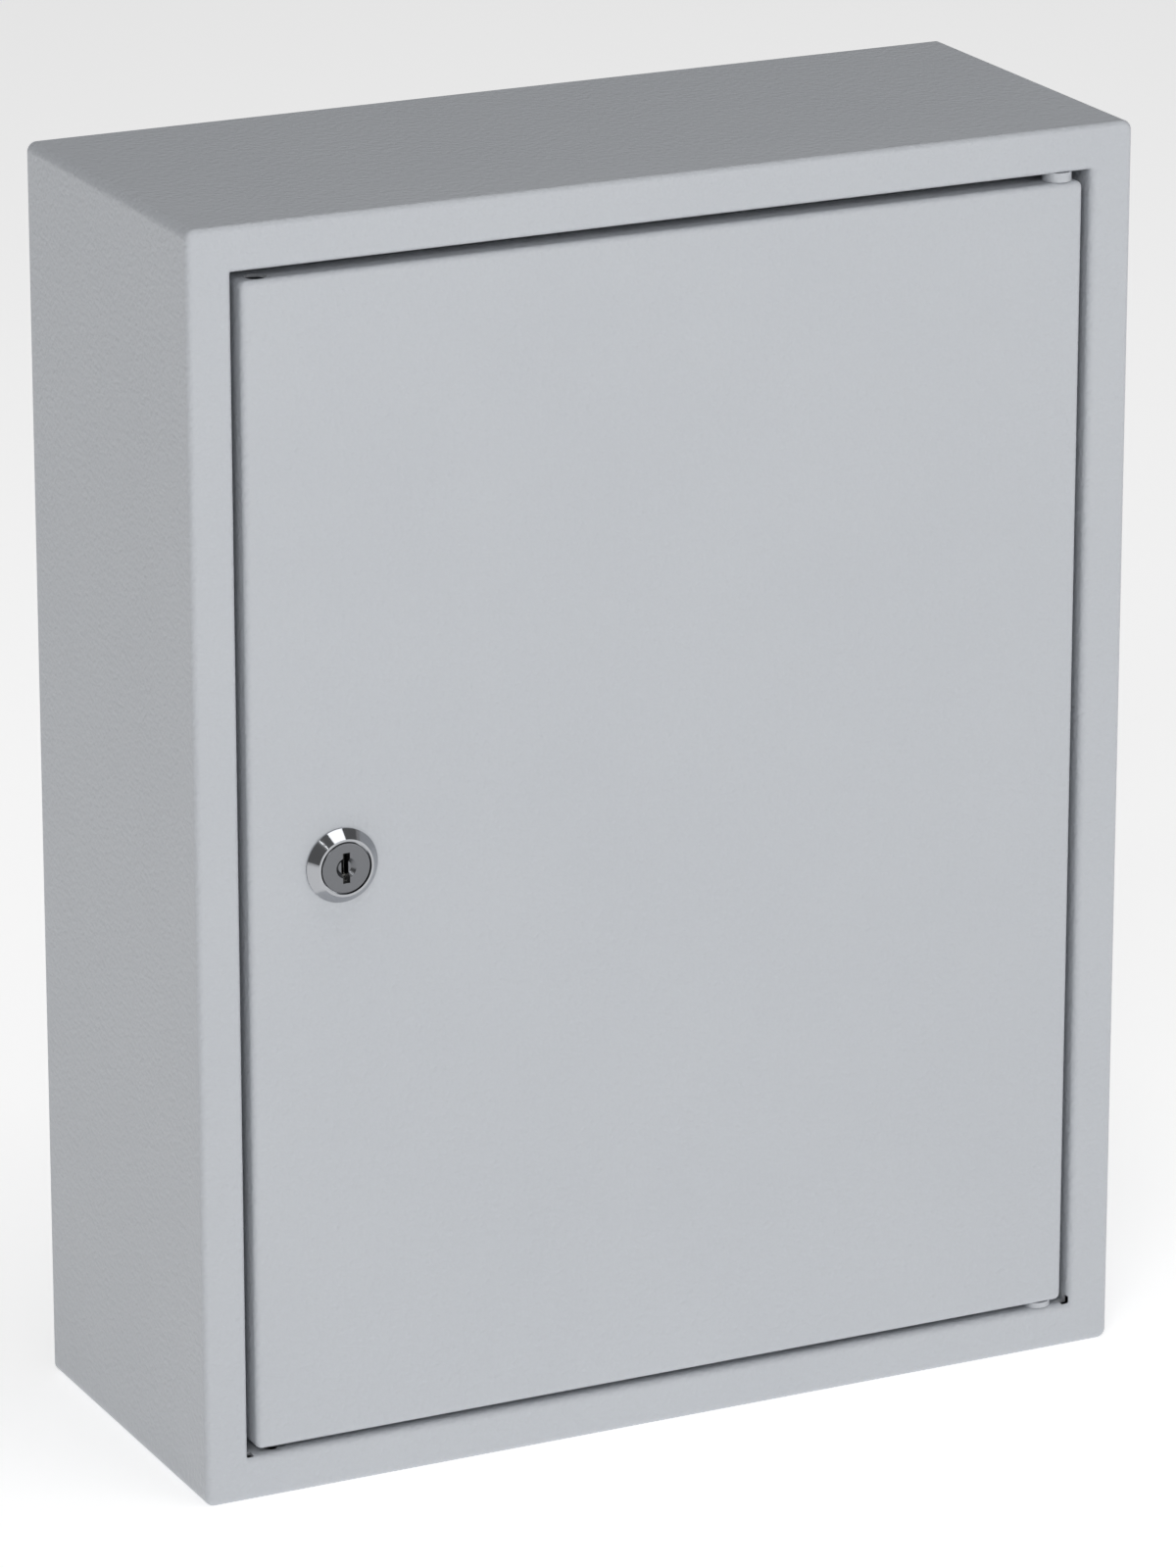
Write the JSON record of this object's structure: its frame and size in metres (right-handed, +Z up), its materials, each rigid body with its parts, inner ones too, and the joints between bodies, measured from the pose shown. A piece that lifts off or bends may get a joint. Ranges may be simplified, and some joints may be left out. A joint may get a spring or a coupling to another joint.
{
  "type": "wall-mounted electrical distribution cabinet",
  "caption": "Flat grey sheet-steel wall cabinet with a flush lockable door, DIN rails, dead front, terminal bars and a gland plate.",
  "frame": {"origin": "centre of the rear face, which is also the centre of the four wall-fixing holes", "axes": "+X to the right seen from the front, +Y towards the wall, +Z up"},
  "size_m": [0.31, 0.1234, 0.395],
  "materials": {
    "grey_powder_coat": "fine-textured semi-gloss powder coat, light grey",
    "chrome": "polished chrome plate",
    "zinc_plate": "bright zinc-plated steel",
    "galvanised": "galvanised sheet",
    "yellow_brass": "machined brass",
    "nickel_silver": "bright nickel silver",
    "black_foam": "closed-cell foam, matt",
    "grey_rubber": "soft rubber, matt",
    "black_rubber": "flat rubber sheet",
    "white_nylon": "moulded nylon",
    "blue_insulator": "moulded polyamide, blue",
    "green_insulator": "moulded polyamide, green"
  },
  "bodies": {
    "cabinet": {"housing": "grey_powder_coat", "back_wall": "grey_powder_coat", "gland_plate": "grey_powder_coat", "gland_plate_seal": "black_rubber", "cable_grommets": "grey_rubber", "gland_studs": "zinc_plate", "gland_nuts": "zinc_plate", "frame_studs": "zinc_plate", "rail_support_left": "galvanised", "rail_support_right": "galvanised", "standoffs": "zinc_plate", "din_rail_lower": "galvanised", "din_rail_upper": "galvanised", "rail_screws": "zinc_plate", "dead_front": "grey_powder_coat", "dead_front_screws": "zinc_plate", "neutral_bar": "yellow_brass", "neutral_bar_screws": "zinc_plate", "neutral_bar_holders": "blue_insulator", "earth_bar": "yellow_brass", "earth_bar_screws": "zinc_plate", "earth_bar_holders": "green_insulator", "holder_screws": "zinc_plate", "body_earth_stud": "zinc_plate", "body_earth_washers": "zinc_plate", "body_earth_nuts": "zinc_plate", "hinge_pin_upper": "zinc_plate", "hinge_pin_lower": "zinc_plate", "hinge_spacer_upper": "grey_powder_coat", "hinge_spacer_lower": "grey_powder_coat"},
    "door": {"door_panel": "grey_powder_coat", "door_gasket": "black_foam", "hinge_bush_upper": "white_nylon", "hinge_bush_lower": "white_nylon", "door_earth_stud": "zinc_plate", "door_earth_washer": "zinc_plate", "door_earth_nut": "zinc_plate", "lock_body": "chrome", "lock_washer": "zinc_plate", "lock_nut": "zinc_plate"},
    "lock_cylinder": {"lock_plug": "chrome", "lock_wafers": "nickel_silver", "lock_cam": "zinc_plate", "cam_washer": "zinc_plate", "cam_screw": "zinc_plate"}
  },
  "joints": [
    {"name": "door_hinge", "type": "hinge", "parent": "cabinet", "child": "door", "pos_m": [0.1317, -0.115, 0], "axis": [0, 0, 1], "range_deg": [0, 115]},
    {"name": "lock_turn", "type": "hinge", "parent": "door", "child": "lock_cylinder", "pos_m": [-0.1085, -0.12, 0], "axis": [0, 1, 0], "range_deg": [0, 90]}
  ]
}
